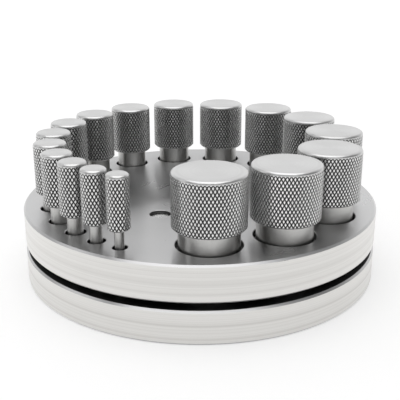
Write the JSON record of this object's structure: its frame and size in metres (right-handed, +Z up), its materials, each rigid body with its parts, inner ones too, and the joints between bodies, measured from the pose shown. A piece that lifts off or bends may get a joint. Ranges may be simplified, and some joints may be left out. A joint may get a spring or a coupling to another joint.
{
  "type": "disc cutter",
  "caption": "Round two-plate punch-and-die block that cuts discs from sheet metal, with a ring of knurled punches and a central clamp screw.",
  "frame": {"origin": "middle of the lower plate's underside, on the surface the tool stands on", "axes": "+Z up along the clamp screw, out of the top face; -Y towards the largest punch, which is the front"},
  "size_m": [0.123, 0.123, 0.0485],
  "materials": {
    "plate_steel": "faces turned to a fine sunburst, rims turned, sharp edges broken",
    "punch_steel": "diamond-knurled heads with turned ends, ground shanks",
    "pin_steel": "ground dowel pin",
    "black_screw": "black oxide",
    "spring_steel": "drawn spring wire"
  },
  "bodies": {
    "die_base": {"bottom_plate": "plate_steel", "guide_pin_front": "pin_steel", "guide_pin_rear": "pin_steel", "lift_spring": "spring_steel"},
    "guide_plate": {"top_plate": "plate_steel"},
    "screw": {"clamp_screw": "black_screw"},
    "punch_01": {"punch_01": "punch_steel"},
    "punch_02": {"punch_02": "punch_steel"},
    "punch_03": {"punch_03": "punch_steel"},
    "punch_04": {"punch_04": "punch_steel"},
    "punch_05": {"punch_05": "punch_steel"},
    "punch_06": {"punch_06": "punch_steel"},
    "punch_07": {"punch_07": "punch_steel"},
    "punch_08": {"punch_08": "punch_steel"},
    "punch_09": {"punch_09": "punch_steel"},
    "punch_10": {"punch_10": "punch_steel"},
    "punch_11": {"punch_11": "punch_steel"},
    "punch_12": {"punch_12": "punch_steel"},
    "punch_13": {"punch_13": "punch_steel"},
    "punch_14": {"punch_14": "punch_steel"},
    "punch_15": {"punch_15": "punch_steel"},
    "punch_16": {"punch_16": "punch_steel"},
    "punch_17": {"punch_17": "punch_steel"}
  },
  "joints": [
    {"name": "guide_plate_slide", "type": "slide", "parent": "die_base", "child": "guide_plate", "axis": [0, 0, 1], "range_m": [-0.0022, 0], "stiffness_N_per_m": 1840, "springref_m": 0.0065, "deforming": ["lift_spring"]},
    {"name": "clamp_screw_turn", "type": "hinge", "parent": "guide_plate", "child": "screw", "pos_m": [0, 0, 0.02], "axis": [0, 0, 1], "range_deg": [-990.1, 0]},
    {"name": "punch_01_lift", "type": "slide", "parent": "die_base", "child": "punch_01", "axis": [0, 0, 1], "range_m": [0, 0.028]},
    {"name": "punch_02_lift", "type": "slide", "parent": "die_base", "child": "punch_02", "axis": [0, 0, 1], "range_m": [0, 0.028]},
    {"name": "punch_03_lift", "type": "slide", "parent": "die_base", "child": "punch_03", "axis": [0, 0, 1], "range_m": [0, 0.028]},
    {"name": "punch_04_lift", "type": "slide", "parent": "die_base", "child": "punch_04", "axis": [0, 0, 1], "range_m": [0, 0.028]},
    {"name": "punch_05_lift", "type": "slide", "parent": "die_base", "child": "punch_05", "axis": [0, 0, 1], "range_m": [0, 0.028]},
    {"name": "punch_06_lift", "type": "slide", "parent": "die_base", "child": "punch_06", "axis": [0, 0, 1], "range_m": [0, 0.028]},
    {"name": "punch_07_lift", "type": "slide", "parent": "die_base", "child": "punch_07", "axis": [0, 0, 1], "range_m": [0, 0.028]},
    {"name": "punch_08_lift", "type": "slide", "parent": "die_base", "child": "punch_08", "axis": [0, 0, 1], "range_m": [0, 0.028]},
    {"name": "punch_09_lift", "type": "slide", "parent": "die_base", "child": "punch_09", "axis": [0, 0, 1], "range_m": [0, 0.028]},
    {"name": "punch_10_lift", "type": "slide", "parent": "die_base", "child": "punch_10", "axis": [0, 0, 1], "range_m": [0, 0.028]},
    {"name": "punch_11_lift", "type": "slide", "parent": "die_base", "child": "punch_11", "axis": [0, 0, 1], "range_m": [0, 0.028]},
    {"name": "punch_12_lift", "type": "slide", "parent": "die_base", "child": "punch_12", "axis": [0, 0, 1], "range_m": [0, 0.028]},
    {"name": "punch_13_lift", "type": "slide", "parent": "die_base", "child": "punch_13", "axis": [0, 0, 1], "range_m": [0, 0.028]},
    {"name": "punch_14_lift", "type": "slide", "parent": "die_base", "child": "punch_14", "axis": [0, 0, 1], "range_m": [0, 0.028]},
    {"name": "punch_15_lift", "type": "slide", "parent": "die_base", "child": "punch_15", "axis": [0, 0, 1], "range_m": [0, 0.028]},
    {"name": "punch_16_lift", "type": "slide", "parent": "die_base", "child": "punch_16", "axis": [0, 0, 1], "range_m": [0, 0.028]},
    {"name": "punch_17_lift", "type": "slide", "parent": "die_base", "child": "punch_17", "axis": [0, 0, 1], "range_m": [0, 0.028]}
  ],
  "couplings": [
    {"joint": "clamp_screw_turn", "follows": "guide_plate_slide", "rad_per_m": 7854}
  ]
}
